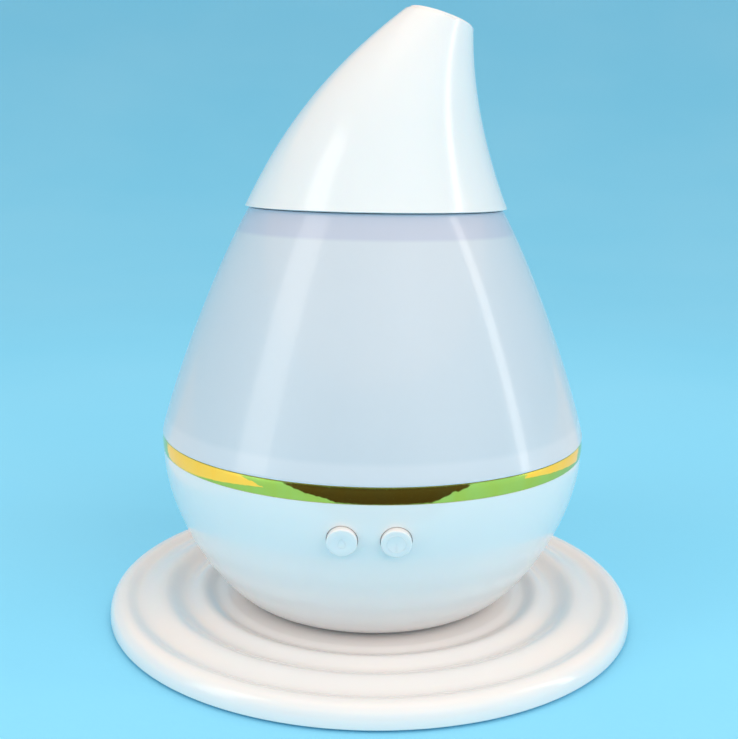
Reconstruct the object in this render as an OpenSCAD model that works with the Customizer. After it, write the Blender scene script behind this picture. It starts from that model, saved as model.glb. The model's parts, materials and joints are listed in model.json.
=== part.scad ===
// Cool mist humidifier in the shape of a water drop, standing on a rippled foot plate.
// All sizes are millimetres. +Z is up, the feet stand on z = 0, the buttons face -Y
// and the nozzle leans towards +X.

/* [Foot plate] */
// Radius of the foot plate
plate_r = 85; // [74:1:105]
// Height of the flat seat that the body stands on
seat_z = 5.6; // [5.2:0.1:7]
// Radius of the flat seat, where the ripples begin
seat_r = 47; // [45:1:54]
// Wall thickness of the foot plate
plate_wall = 2.2; // [1.6:0.1:3]
// Depth of the ripples, from crest to trough
ripple_depth = 2.1; // [0.5:0.1:2.5]
// Gap between the underside of the plate's edge and the table
plate_clear = 0.8; // [0.4:0.1:1.2]
// Radius of a rubber foot
pad_r = 6; // [4:0.5:8]
// Distance of the rubber feet from the middle
pad_ring_r = 62; // [54:1:66]

/* [Body] */
// Radius of the body at its lowest edge
foot_r = 39.4; // [38.6:0.2:43]
// Gap between the body's lowest edge and the seat
foot_gap = 0.9; // [0.5:0.1:1.5]
// Radius of the body at its widest
rim_r = 66.9; // [62:0.1:81]
// Height of the lower shell
shell_h = 49.1; // [47:0.1:59]
// Wall thickness of the lower shell
shell_wall = 2.4; // [1.8:0.1:3]
// Thickness of the lower shell's floor
floor_t = 2.4; // [1.8:0.1:3]
// Height of the metal-look ring
ring_h = 4.8; // [3.5:0.1:7]
// Thickness of the metal-look ring
ring_t = 1.85; // [1.2:0.05:2.2]

/* [Cover] */
// Height of the translucent cover
cover_h = 69.7; // [58:0.5:84]
// Radius at the top of the cover
cover_top_r = 39.5; // [33:0.1:48]
// Wall thickness of the cover
cover_wall = 2.2; // [1.6:0.1:2.6]
// Height of the neck that guides the nozzle collar
neck_h = 4; // [3:0.5:6]
// Gap under a piece that lifts off
lift_gap = 0.3; // [0.2:0.05:0.5]

/* [Nozzle] */
// Height of the middle of the outlet above the nozzle's lower edge
nozzle_h = 57.2; // [48:0.5:69]
// Sideways reach of the outlet
nozzle_reach = 18.8; // [10:0.5:24]
// How far the nozzle's edge stands out over the cover
nozzle_proud = 1.4; // [0.4:0.1:2]
// Outer radius of the outlet
tip_r = 10.25; // [8:0.25:13]
// Tilt of the outlet from level, in degrees
tip_tilt = 17.3; // [0:1:30]
// Wall thickness of the nozzle
nozzle_wall = 1.9; // [1.4:0.1:2.6]
// Depth of the collar that plugs into the cover's neck
collar_h = 7; // [6:0.5:9]
// Wall thickness of the collar
collar_wall = 1.8; // [1.5:0.1:2.5]
// Thickness of the rubber ring on the collar
seal_d = 1.3; // [1:0.1:1.6]

/* [Basin] */
// Inner radius of the water basin
basin_r = 49; // [44:0.5:49]
// Depth of the basin below its flange
basin_depth = 22.2; // [18:0.5:26]
// Wall thickness of the basin
basin_wall = 2; // [1.6:0.1:2.4]
// Height of the basin's lip above its flange
lip_h = 5.6; // [4:0.2:8]
// Inner radius of the mist well
well_r = 12; // [11:0.5:13]
// Depth of the mist well below the basin's floor
well_depth = 5; // [3:0.5:6]

/* [Buttons] */
// Radius of a button
button_r = 4.2; // [3:0.05:5.1]
// Distance between the two buttons
button_pitch = 14.6; // [12:0.2:20]
// Distance of the buttons below the ring
button_drop = 10.6; // [9:0.2:14]
// How far a button stands out of the shell
button_proud = 2; // [1:0.1:3]
// Travel of a button
button_travel = 0.6; // [0.3:0.1:1]
// Gap around a button in its hole
button_gap = 0.3; // [0.2:0.05:0.5]

/* [Air and mist] */
// Side of the square fan
fan_side = 25; // [20:0.1:27]
// Thickness of the fan
fan_t = 7; // [6:0.5:8]
// Outer radius of the chimney
chimney_r = 9; // [7:0.5:9.5]
// Radius of the vibrating disc
disc_r = 10; // [8:0.5:10.5]

/* [Power inlet] */
// Height of the power inlet
inlet_z = 24; // [22:0.5:27]
// Bore radius of the power inlet
inlet_r = 3.15; // [2.5:0.05:3.2]
// Radius of the inlet's centre contact
contact_r = 1.05; // [0.8:0.05:1.25]
// Length of the inlet's centre contact
contact_l = 8.5; // [6:0.5:9]

/* [Hidden] */
$fn = 96;

white = [0.93, 0.94, 0.95];
frosted = [0.86, 0.9, 0.95, 0.6];
gold = [0.85, 0.65, 0.2];
rubber = [0.25, 0.25, 0.27];
steel = [0.75, 0.76, 0.78];
board_green = [0.1, 0.42, 0.25];
black = [0.1, 0.1, 0.11];
brass = [0.8, 0.66, 0.32];
copper = [0.75, 0.4, 0.22];

// Small fits and the steps of curves.
slack = 0.05;       // running gap of a pin or a pilot hole
fit_gap = 0.1;      // gap of a push fit
steps = 28;         // segments of a curved profile
over = 1;           // extra length of a cutting tool

// Heights, from the table up.
shell_z = seat_z + foot_gap;
rim_z = shell_z + shell_h;
ring_top_z = rim_z + ring_h;
floor_z = shell_z + floor_t;
cover_z = ring_top_z + lift_gap;
cover_top_z = cover_z + cover_h;
nozzle_z = cover_top_z + lift_gap;
flange_top_z = ring_top_z - 0.2;
gasket_t = 0.8;
flange_z = rim_z + gasket_t;
basin_z = flange_top_z - basin_depth;
basin_under_z = basin_z - basin_wall;
well_z = basin_z - well_depth;
well_under_z = well_z - basin_wall;
seal_t = 2.8;
holder_t = 1.6;
holder_z = well_under_z - seal_t - holder_t;
lip_top_z = flange_top_z + lip_h;
chimney_top_z = lip_top_z + 2;
chimney_foot_z = basin_under_z - 6;
chimney_wall = 1.2;
collar_out = 2.5;   // how far the chimney's collar and its nut stand out
fan_y = well_r + basin_wall + chimney_r + collar_out;
button_z = rim_z - button_drop;

// Screws.
screw_r = 1.45;
head_r = 2.8;
head_h = 1.8;
small_screw_r = 0.95;
small_head_r = 1.9;
small_head_h = 1.2;

// Places of what repeats, as [x, y].
step_r = foot_r - 2;    // the step under the floor that stands on the seat
post_ring_r = step_r - 3;
post_angle = 30;
post_r = 3.3;
post_places = [for (a = [post_angle, 180 - post_angle, 180 + post_angle, -post_angle])
    post_ring_r * [cos(a), sin(a)]];
pad_places = [for (a = [45:90:315]) pad_ring_r * [cos(a), sin(a)]];
board_w = 50;
board_d = 33;
board_y = -17;
board_t = 1.6;
board_z = floor_z + 4;
board_top_z = board_z + board_t;
board_hole_in = 3.5;
board_places = [for (x = [-1, 1], y = [-1, 1])
    [x * (board_w / 2 - board_hole_in), board_y + y * (board_d / 2 - board_hole_in)]];
fan_z = floor_z + 2;
fan_top_z = fan_z + fan_t;
fan_hole_in = 3;
fan_places = [for (x = [-1, 1], y = [-1, 1])
    [x * (fan_side / 2 - fan_hole_in), fan_y + y * (fan_side / 2 - fan_hole_in)]];
fan_bore_r = fan_side / 2 - 1.4;
intake_r = fan_bore_r - 1;

// ---------- helpers ----------

// A point of a cubic curve through four control points.
function curve_point(p, t) =
    pow(1 - t, 3) * p[0] + 3 * pow(1 - t, 2) * t * p[1]
    + 3 * (1 - t) * t * t * p[2] + pow(t, 3) * p[3];
function curve(p, n = steps) = [for (i = [0:n]) curve_point(p, i / n)];
function reversed(p) = [for (i = [len(p) - 1:-1:0]) p[i]];
function tangent(p, i) =
    let (d = p[min(len(p) - 1, i + 1)] - p[max(0, i - 1)]) d / norm(d);
// The same line moved sideways by d, to the left of its direction.
function inset(p, d) =
    [for (i = [0:len(p) - 1]) let (t = tangent(p, i)) p[i] + d * [-t[1], t[0]]];
// Radius of a profile of [radius, height] points at height z.
function radius_at(p, z) = lookup(z, [for (q = p) [q[1], q[0]]]);
// A smooth wave through stations of [radius, height], as a cosine between each two.
function wave(s, n = 7) = [for (i = [0:len(s) - 2], k = [0:n - 1])
    let (f = k / n, g = (1 - cos(180 * f)) / 2)
    [s[i][0] + f * (s[i + 1][0] - s[i][0]), s[i][1] + g * (s[i + 1][1] - s[i][1])]];

// A cylinder along Y from y0 to y1.
module rod_y(r, y0, y1, x = 0, z = 0) {
    translate([x, y1, z]) rotate([90, 0, 0]) cylinder(r = r, h = y1 - y0);
}
// A ring from z0 to z1.
module tube(outer_r, inner_r, z0, z1) {
    difference() {
        translate([0, 0, z0]) cylinder(r = outer_r, h = z1 - z0);
        translate([0, 0, z0 - over]) cylinder(r = inner_r, h = z1 - z0 + 2 * over);
    }
}
// A block centred on x and y, from z0 to z1.
module block(w, d, z0, z1, x = 0, y = 0) {
    translate([x - w / 2, y - d / 2, z0]) cube([w, d, z1 - z0]);
}
module at(places) {
    for (p = places) translate([p[0], p[1], 0]) children();
}
// A round-headed screw with its head's seat at z and its shank upwards.
module screw_up(z, length, r, hr, hh) {
    difference() {
        union() {
            translate([0, 0, z]) cylinder(r = r, h = length);
            translate([0, 0, z - hh]) cylinder(r = hr, h = hh);
        }
        translate([0, 0, z - hh - over]) cylinder(r = r * 0.9, h = hh * 0.5 + over, $fn = 6);
    }
}
// The same screw with its shank downwards.
module screw_down(z, length, r, hr, hh) {
    translate([0, 0, 2 * z]) mirror([0, 0, 1]) screw_up(z, length, r, hr, hh);
}

// ---------- profiles, as [radius, height] ----------

shell_outer = curve([
    [foot_r, shell_z],
    [foot_r + 0.301 * (rim_r - foot_r), shell_z + 0.008 * shell_h],
    [rim_r, rim_z - 0.454 * shell_h],
    [rim_r, rim_z]
]);
cover_r = rim_r + 0.3;
cover_outer = curve([
    [cover_r, cover_z],
    [cover_r - 0.12 * (cover_r - cover_top_r), cover_z + 0.204 * cover_h],
    [cover_top_r + 0.415 * (cover_r - cover_top_r), cover_top_z - 0.288 * cover_h],
    [cover_top_r, cover_top_z]
]);
neck_r = cover_top_r - 1.8;
// Crests and troughs of the ripples: the share of the way to the edge, and the height.
ripple_span = plate_r - seat_r;
ripple_stations = [for (s = [[0, 0], [0.092, -0.24], [0.224, 0.48], [0.368, -0.38],
        [0.553, 0.86], [0.758, 0.10], [0.876, 0.71]])
    [seat_r + s[0] * ripple_span, seat_z + s[1] * ripple_depth]];
crest = ripple_stations[len(ripple_stations) - 1];
edge_curve = curve([
    crest,
    [plate_r - 0.3 * (plate_r - crest[0]), crest[1]],
    [plate_r, crest[1] - 0.4 * (crest[1] - plate_clear)],
    [plate_r, plate_clear + 0.8]
], 10);
plate_top = concat(wave(ripple_stations), edge_curve);

// ---------- foot plate ----------

// The slots that let the fan's air in through the plate, cut to the round of the intake.
module plate_slots() {
    slot_w = 2.4;
    pitch = intake_r / 2.5;
    for (i = [-2:2]) let (half = sqrt(pow(intake_r - 0.2, 2) - pow(i * pitch, 2)))
        block(slot_w, 2 * half, -over, seat_z + over, i * pitch, fan_y);
}

module wave_plate() {
    under = inset(reversed(plate_top), plate_wall);
    inner_edge = plate_r - 1.2 * plate_wall;
    under_line = [for (p = under) if (p[0] < inner_edge - 0.3 && p[0] > seat_r) p];
    color(white) difference() {
        union() {
            rotate_extrude() polygon(concat(
                [[0, seat_z]], plate_top,
                [[plate_r - 0.6, plate_clear], [inner_edge, plate_clear],
                    [inner_edge, under_line[0][1]]],
                under_line,
                [[0, seat_z - plate_wall]]
            ));
            at(post_places) translate([0, 0, plate_clear + 0.4])
                cylinder(r = head_r + 2, h = seat_z - plate_clear - 0.4);
            at(pad_places) translate([0, 0, plate_clear])
                cylinder(r = pad_r + 1.2, h = seat_z - plate_clear - 0.55 * ripple_depth);
        }
        at(post_places) {
            translate([0, 0, -over]) cylinder(r = head_r + 0.3, h = seat_z - 2 + over);
            translate([0, 0, -over]) cylinder(r = screw_r + 0.15, h = seat_z + 2 * over);
        }
        at(pad_places) translate([0, 0, -over])
            cylinder(r = pad_r + fit_gap, h = plate_clear + 1 + over);
        plate_slots();
    }
}

module rubber_feet() {
    color(rubber) at(pad_places) cylinder(r = pad_r, h = plate_clear + 1);
}

module case_screws() {
    color(steel) at(post_places)
        screw_up(seat_z - 2, floor_z + 10 - seat_z, screw_r, head_r, head_h);
}

// ---------- lower shell ----------

module shell_solid() {
    rotate_extrude() polygon(concat([[0, shell_z]], shell_outer, [[0, rim_z]]));
}

inlet_flange_r = 6.2;
inlet_pocket_r = inlet_flange_r + 0.3;
inlet_boss_r = inlet_pocket_r + 1.8;
inlet_face_y = radius_at(shell_outer, inlet_z - inlet_pocket_r) - 1.5;  // seat of the inlet's flange
inlet_wall = 2.2;
inlet_body_r = inlet_r + 0.85;
switch_x = button_pitch / 2;
button_face_y = radius_at(shell_outer, button_z) + button_proud;
button_back_y = button_face_y - button_proud - shell_wall - 3;
flange_t = 1;
stem_l = 1.2;
plunger_l = 1.2;
switch_t = 3.4;
key_board_y = button_back_y - flange_t - stem_l - plunger_l - switch_t;  // front face of the key board
key_board_t = 1.4;
key_post_x = switch_x + 11.4;
key_post_r = 2.8;

module base_shell() {
    inner = [for (p = inset(shell_outer, shell_wall)) if (p[1] < rim_z - 0.5) p];
    color(white) difference() {
        union() {
            rotate_extrude() polygon(concat(
                shell_outer, [[rim_r - shell_wall, rim_z]], reversed(inner)));
            translate([0, 0, shell_z]) cylinder(r = foot_r, h = floor_t);
            translate([0, 0, seat_z]) cylinder(r = step_r, h = floor_t);
            at(board_places) translate([0, 0, floor_z - 0.5])
                cylinder(r = 2.5, h = board_z - floor_z + 0.5);
            at(fan_places) translate([0, 0, floor_z - 0.5])
                cylinder(r = 2.2, h = fan_z - floor_z + 0.5);
            intersection() {
                union() {
                    rod_y(inlet_boss_r, inlet_face_y - inlet_wall, plate_r, 0, inlet_z);
                    for (s = [-1, 1])
                        rod_y(key_post_r, -plate_r, -key_board_y, s * key_post_x, button_z);
                }
                shell_solid();
            }
        }
        at(post_places) translate([0, 0, 0]) cylinder(r = screw_r + 0.2, h = floor_z + over);
        at(board_places) translate([0, 0, floor_z]) cylinder(r = small_screw_r + slack, h = 10);
        at(fan_places) translate([0, 0, floor_z - 0.6])
            cylinder(r = small_screw_r + slack, h = 10);
        translate([0, fan_y, 0]) cylinder(r = intake_r, h = floor_z + over);
        rod_y(inlet_pocket_r, inlet_face_y, plate_r, 0, inlet_z);
        rod_y(inlet_body_r + slack, 0, plate_r, 0, inlet_z);
        for (s = [-1, 1]) {
            rod_y(button_r + button_gap, -plate_r, -key_board_y, s * switch_x, button_z);
            rod_y(small_screw_r + slack, -key_board_y - 6, 0, s * key_post_x, button_z);
        }
    }
}

module intake_filter() {
    color(black) translate([0, fan_y, seat_z]) cylinder(r = intake_r - fit_gap, h = floor_z - seat_z);
}

module gold_ring() {
    r0 = rim_r + 0.2 - ring_t;
    color(gold) rotate_extrude() polygon([
        [r0, rim_z], [rim_r - 0.05, rim_z], [rim_r + 0.15, rim_z + 0.6],
        [rim_r + 0.28, rim_z + ring_h / 2], [rim_r + 0.3, ring_top_z - 0.3],
        [rim_r + 0.05, ring_top_z], [r0, ring_top_z]
    ]);
}

gasket_bore_r = rim_r - 3.9;

module rim_gasket() {
    color(rubber) tube(rim_r + 0.1 - ring_t, gasket_bore_r, rim_z, flange_z);
}

// ---------- water basin ----------

lip_r = radius_at(inset(cover_outer, cover_wall), lip_top_z) - lift_gap;
// Below its flange the wall stays inside the seal, also where the cover is wide
lip_foot_r = min(lip_r - 0.4, gasket_bore_r - 0.05);
flange_r = rim_r + 0.15 - ring_t;
bowl_inner = concat(
    curve([[basin_r - 7, basin_z], [basin_r - 2, basin_z], [basin_r, basin_z + 3],
        [basin_r, basin_z + 9]], 10),
    [[basin_r + 0.2, flange_top_z - 8.2], [lip_foot_r - basin_wall + 0.6, flange_top_z - 1],
        [lip_r - basin_wall + 0.2, lip_top_z]]
);
bowl_outer = concat(
    curve([[basin_r - 6, basin_under_z], [basin_r - 1, basin_under_z],
        [basin_r + basin_wall, basin_z + 1], [basin_r + basin_wall, basin_z + 8]], 10),
    [[basin_r + basin_wall + 0.4, flange_top_z - 9.7], [lip_foot_r, flange_z],
        [flange_r, flange_z], [flange_r, flange_top_z], [lip_r, flange_top_z],
        [lip_r, lip_top_z]]
);
disc_screw_r = well_r + 3.5;
disc_screw_places = [for (a = [-90, 30, 150]) disc_screw_r * [cos(a), sin(a)]];
led_y = -25.5;
led_board_z = basin_under_z - 5;
led_places = [for (x = [-6, 0, 6]) [x, led_y]];
led_screw_places = [for (x = [-11.5, 11.5]) [x, led_y]];

module basin() {
    color(frosted) difference() {
        union() {
            rotate_extrude() polygon(concat(
                [[0, basin_under_z]], bowl_outer, reversed(bowl_inner), [[0, basin_z]]));
            translate([0, 0, well_under_z])
                cylinder(r = well_r + basin_wall - 0.4, h = basin_z - well_under_z);
            at(disc_screw_places) translate([0, 0, holder_z + holder_t])
                cylinder(r = 2.4, h = basin_z - holder_z - holder_t - 0.5);
            at(post_places) translate([0, 0, floor_z])
                cylinder(r = post_r, h = basin_under_z - floor_z + 0.5);
            at(led_screw_places) translate([0, 0, led_board_z + 1.2])
                cylinder(r = 1.9, h = basin_under_z - led_board_z - 0.7);
        }
        translate([0, 0, well_z]) cylinder(r = well_r, h = lip_top_z);
        translate([0, 0, well_under_z - over]) cylinder(r = disc_r - 1.5, h = basin_wall + 2 * over);
        at(disc_screw_places) translate([0, 0, holder_z])
            cylinder(r = small_screw_r + slack, h = 7);
        at(post_places) translate([0, 0, floor_z - over]) cylinder(r = screw_r + slack, h = 11.5);
        at(led_screw_places) translate([0, 0, led_board_z])
            cylinder(r = small_screw_r + slack, h = 5);
        translate([0, fan_y, basin_under_z - over])
            cylinder(r = chimney_r + slack, h = basin_wall + 2 * over);
    }
}

// The chimney lets the fan's air rise past the water. Its collar stands on a rubber washer
// on the basin's floor, and a nut under the floor pulls it tight.
washer_t = 0.8;
collar_t = 1.4;
nut_t = 2.5;
module chimney() {
    color(white) translate([0, fan_y, 0]) {
        tube(chimney_r, chimney_r - chimney_wall, chimney_foot_z, chimney_top_z);
        tube(chimney_r + collar_out, chimney_r - chimney_wall,
            basin_z + washer_t, basin_z + washer_t + collar_t);
    }
}

module chimney_seal() {
    color(rubber) translate([0, fan_y, 0])
        tube(chimney_r + collar_out - 0.4, chimney_r + slack, basin_z, basin_z + washer_t);
}

module chimney_nut() {
    color(white) translate([0, fan_y, basin_under_z - nut_t]) difference() {
        cylinder(r = chimney_r + collar_out, h = nut_t, $fn = 8);
        translate([0, 0, -over]) cylinder(r = chimney_r + slack, h = nut_t + 2 * over);
    }
}

module duct_hood() {
    plug_r = chimney_r - chimney_wall - fit_gap;
    color(white) translate([0, fan_y, 0]) {
        tube(plug_r, plug_r - 1.2, chimney_top_z - 6, chimney_top_z);
        tube(chimney_r + 0.2, plug_r - 1.2, chimney_top_z, chimney_top_z + 1);
        for (a = [30:120:270]) rotate(a) translate([plug_r - 1, -1.5, chimney_top_z + 0.5])
            cube([1.8, 3, 5]);
        rotate_extrude() polygon(concat(
            [[0, chimney_top_z + 5], [chimney_r, chimney_top_z + 5], [chimney_r + 2, chimney_top_z + 4]],
            curve([[chimney_r + 2, chimney_top_z + 5], [chimney_r, chimney_top_z + 6.4],
                [4, chimney_top_z + 7.5], [0, chimney_top_z + 7.5]], 8)
        ));
    }
}

// ---------- air path ----------

module air_duct() {
    z0 = fan_top_z;
    z1 = z0 + 7;
    z2 = basin_under_z - nut_t - 0.5;
    r0 = fan_side / 2 - 0.6;
    r1 = chimney_r + 1.3;
    color(white) translate([0, fan_y, 0]) difference() {
        union() {
            block(fan_side, fan_side, z0, z0 + 1.2);
            rotate_extrude() polygon([[0, z0], [r0, z0 + 1], [r1, z1], [r1, z2], [0, z2]]);
        }
        rotate_extrude() polygon([[0, z0 - over], [fan_bore_r, z0 - over], [fan_bore_r, z0],
            [r1 - 1.2, z1], [r1 - 1.2, z2 + over], [0, z2 + over]]);
        at([for (p = fan_places) [p[0], p[1] - fan_y]]) translate([0, 0, z0 - over])
            cylinder(r = small_head_r + 0.2, h = 4);
    }
}

hub_r = fan_side * 0.2;
shaft_r = 0.8;
module fan_frame() {
    strut_t = 1.2;
    color(black) translate([0, fan_y, 0]) difference() {
        union() {
            difference() {
                block(fan_side, fan_side, fan_z, fan_top_z);
                translate([0, 0, fan_z - over]) cylinder(r = fan_bore_r, h = fan_t + 2 * over);
            }
            for (a = [45:90:315]) rotate(a) translate([hub_r - 1, -1, fan_z])
                cube([fan_bore_r - hub_r + 1.5, 2, strut_t]);
            translate([0, 0, fan_z]) cylinder(r = hub_r, h = strut_t);
            translate([0, 0, fan_z]) cylinder(r = shaft_r + 1, h = fan_t - 2.2);
        }
        translate([0, 0, fan_z + 0.6]) cylinder(r = shaft_r + slack, h = fan_t);
        at([for (p = fan_places) [p[0], p[1] - fan_y]]) translate([0, 0, fan_z - over])
            cylinder(r = small_screw_r + 0.2, h = fan_t + 2 * over);
    }
}

module fan_stator() {
    color(copper) translate([0, fan_y, 0])
        tube(hub_r - 1.6, shaft_r + 1 + slack, fan_z + 1.4, fan_top_z - 2.6);
}

module fan_screws() {
    color(steel) at([fan_places[0], fan_places[3]])
        screw_down(fan_top_z, fan_t + 2, small_screw_r, small_head_r, small_head_h);
}

module fan_rotor() {
    blade_r = fan_bore_r - 0.7;
    blade_h = fan_t - 2.4;
    color(black) translate([0, fan_y, 0]) {
        difference() {
            translate([0, 0, fan_z + 1.6]) cylinder(r = hub_r, h = fan_t - 2);
            translate([0, 0, fan_z + 1]) cylinder(r = hub_r - 1, h = fan_t - 2.4);
            translate([0, 0, fan_z]) cylinder(r = shaft_r, h = fan_t);
        }
        intersection() {
            for (a = [0:360 / 7:359]) rotate(a)
                translate([hub_r - 0.4, 0, fan_z + 1.8 + blade_h / 2]) rotate([38, 0, 0])
                    translate([0, -0.45, -blade_h / 2]) cube([blade_r, 0.9, blade_h]);
            translate([0, 0, fan_z + 1.5]) tube(blade_r, hub_r - 0.3, 0, fan_t - 2);
        }
    }
}

module fan_shaft() {
    color(steel) translate([0, fan_y, fan_z + 0.8]) cylinder(r = shaft_r, h = fan_t - 1.3);
}

// ---------- mist generator ----------

module disc_seal() {
    color(rubber) difference() {
        tube(well_r - 0.2, disc_r - 1.7, holder_z + holder_t, well_under_z);
        translate([0, 0, holder_z + holder_t + 0.8]) cylinder(r = disc_r + slack, h = 1.2);
        translate([0, 0, holder_z + holder_t - over]) cylinder(r = disc_r - 1.7, h = seal_t);
    }
}

module vibrating_disc() {
    color(brass) translate([0, 0, holder_z + holder_t + 0.85]) cylinder(r = disc_r, h = 1.1);
}

module disc_ceramic() {
    color(white) translate([0, 0, holder_z + holder_t + 0.35]) cylinder(r = disc_r - 3, h = 0.5);
}

module disc_holder() {
    color(steel) difference() {
        union() {
            translate([0, 0, holder_z]) cylinder(r = well_r + 0.8, h = holder_t);
            at(disc_screw_places) translate([0, 0, holder_z]) cylinder(r = 2.8, h = holder_t);
        }
        translate([0, 0, holder_z - over]) cylinder(r = disc_r - 3.5, h = holder_t + 2 * over);
        at(disc_screw_places) translate([0, 0, holder_z - over])
            cylinder(r = small_screw_r + 0.15, h = holder_t + 2 * over);
    }
}

module disc_screws() {
    color(steel) at(disc_screw_places)
        screw_up(holder_z, holder_t + 4, small_screw_r, small_head_r, small_head_h);
}

// ---------- main board ----------

module main_board() {
    color(board_green) difference() {
        block(board_w, board_d, board_z, board_top_z, 0, board_y);
        at(board_places) translate([0, 0, board_z - over])
            cylinder(r = small_screw_r + 0.15, h = board_t + 2 * over);
    }
}

module heat_sink() {
    w = 14;
    color(steel) translate([-14, board_y + 5, board_top_z]) {
        block(w, 9, 0, 1.5);
        for (i = [-3:3]) block(0.8, 9, 1.2, 8, i * 2.1, 0);
    }
}

module board_parts() {
    color(black) {
        at([[2, board_y + 6], [10, board_y + 6]]) translate([0, 0, board_top_z])
            cylinder(r = 3.2, h = 6.5);
        translate([-12, board_y - 7, board_top_z]) cylinder(r = 4, h = 5);
        block(7, 5, board_top_z, board_top_z + 1.5, 2, board_y - 7);
        block(5, 4, board_top_z, board_top_z + 1.5, 12, board_y - 7);
    }
}

plug_h = 5;
plug_places = [[21.5, board_y + 2], [21.5, board_y - 6], [-22, board_y - 6], [0, board_y - 13]];
module board_plugs() {
    color(white) at(plug_places) block(5, 5.6, board_top_z, board_top_z + plug_h);
}

module board_screws() {
    color(steel) at(board_places)
        screw_down(board_top_z, board_t + 3.6, small_screw_r, small_head_r, small_head_h);
}

// ---------- keys ----------

module key_board() {
    w = 2 * key_post_x + 7;
    color(board_green) difference() {
        translate([-w / 2, -key_board_y, button_z - 5]) cube([w, key_board_t, 10]);
        for (s = [-1, 1])
            rod_y(small_screw_r + 0.15, -key_board_y - over, -key_board_y + 3, s * key_post_x, button_z);
    }
}

module key_screws() {
    color(steel) for (s = [-1, 1]) translate([s * key_post_x, -key_board_y + key_board_t, button_z])
        rotate([90, 0, 0]) screw_up(0, key_board_t + 4, small_screw_r, small_head_r, small_head_h);
}

module switch_body(x) {
    color(black) difference() {
        translate([x - 3, -key_board_y - switch_t, button_z - 3]) cube([6, switch_t, 6]);
        rod_y(1.8, -key_board_y - switch_t - over, -key_board_y - switch_t + 1.6, x, button_z);
    }
}
module mist_switch() switch_body(-switch_x);
module light_switch() switch_body(switch_x);

// The plunger reaches into its switch, with room behind it for the travel.
module plunger(x) {
    color(black) rod_y(1.75, -button_back_y + flange_t + stem_l,
        -key_board_y - switch_t + 0.4, x, button_z);
}
module mist_plunger() plunger(-switch_x);
module light_plunger() plunger(switch_x);

module button(x) {
    crown = 0.7;
    color(white) translate([x, -button_back_y + flange_t + stem_l, button_z]) rotate([90, 0, 0])
        rotate_extrude() polygon([
            [0, 0], [1.6, 0], [1.6, stem_l], [button_r + 0.7, stem_l],
            [button_r + 0.7, stem_l + flange_t], [button_r, stem_l + flange_t],
            each reversed(curve([
                [0, button_face_y - button_back_y + flange_t + stem_l],
                [button_r * 0.8, button_face_y - button_back_y + flange_t + stem_l],
                [button_r, button_face_y - button_back_y + flange_t + stem_l - 0.1],
                [button_r, button_face_y - button_back_y + flange_t + stem_l - crown * 1.6]
            ], 10))
        ]);
}
module mist_button() button(-switch_x);
module light_button() button(switch_x);

// ---------- lamps ----------

module led_board() {
    color(board_green) difference() {
        block(28, 6, led_board_z, led_board_z + 1.2, 0, led_y);
        at(led_screw_places) translate([0, 0, led_board_z - over])
            cylinder(r = small_screw_r + 0.15, h = 4);
    }
}

module led_lamps() {
    color([0.9, 0.95, 1]) at(led_places) translate([0, 0, led_board_z + 1.2]) {
        cylinder(r = 1.5, h = 1.6);
        translate([0, 0, 1.6]) intersection() {
            sphere(r = 1.5);
            cylinder(r = 2, h = 2);
        }
    }
}

module led_screws() {
    color(steel) at(led_screw_places)
        screw_up(led_board_z, 1.2 + 3, small_screw_r, small_head_r, small_head_h);
}

// ---------- power inlet ----------

inlet_flange_t = 1.5;
inlet_mouth_y = inlet_face_y + inlet_flange_t;
inlet_back_y = inlet_mouth_y - contact_l - 3;
contact_tip_y = inlet_mouth_y - 1;
contact_root_r = contact_r + 0.4;

module power_inlet() {
    color(black) difference() {
        union() {
            rod_y(inlet_flange_r, inlet_face_y, inlet_mouth_y, 0, inlet_z);
            rod_y(inlet_body_r, inlet_back_y, inlet_mouth_y, 0, inlet_z);
            for (s = [-1, 1]) translate([s * 1.8 - 0.6, inlet_back_y - 2.4, inlet_z - 0.3])
                cube([1.2, 2.6, 0.6]);
        }
        rod_y(inlet_r, contact_tip_y - contact_l, plate_r, 0, inlet_z);
        rod_y(contact_root_r, inlet_back_y + 0.6, plate_r, 0, inlet_z);
    }
}

module inlet_contact() {
    color(steel) {
        rod_y(contact_root_r, inlet_back_y + 0.6, contact_tip_y - contact_l, 0, inlet_z);
        rod_y(contact_r, contact_tip_y - contact_l - 0.5, contact_tip_y, 0, inlet_z);
    }
}

module inlet_nut() {
    color(steel) difference() {
        translate([0, inlet_face_y - inlet_wall, inlet_z]) rotate([90, 0, 0])
            cylinder(r = 6.6, h = 2.2, $fn = 6);
        rod_y(inlet_body_r + slack, 0, plate_r, 0, inlet_z);
    }
}

// ---------- leads ----------

// A round lead from a to b. It leaves a along pull_a and comes to b against pull_b.
module lead(a, pull_a, pull_b, b, r = 0.9, sides = 8, rings = 15) {
    p = [a, a + pull_a, b + pull_b, b];
    function slope(t) = let (d = pow(1 - t, 2) * (p[1] - p[0])
        + 2 * t * (1 - t) * (p[2] - p[1]) + t * t * (p[3] - p[2])) d / norm(d);
    function side(d) = let (u = cross(d, [0.6, 0.8, 0])) u / norm(u);
    polyhedron(
        points = [for (i = [0:rings - 1], k = [0:sides - 1])
            let (t = i / (rings - 1), d = slope(t), u = side(d), v = cross(u, d), f = 360 * k / sides)
            curve_point(p, t) + r * (cos(f) * u + sin(f) * v)],
        faces = concat(
            [[for (k = [0:sides - 1]) k]],
            [for (i = [0:rings - 2], k = [0:sides - 1]) let (m = (k + 1) % sides)
                each [[i * sides + k, (i + 1) * sides + k, (i + 1) * sides + m],
                    [i * sides + k, (i + 1) * sides + m, i * sides + m]]],
            [[for (k = [sides - 1:-1:0]) (rings - 1) * sides + k]]
        )
    );
}
function plug_top(i) = [plug_places[i][0], plug_places[i][1], board_top_z + plug_h];

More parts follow.
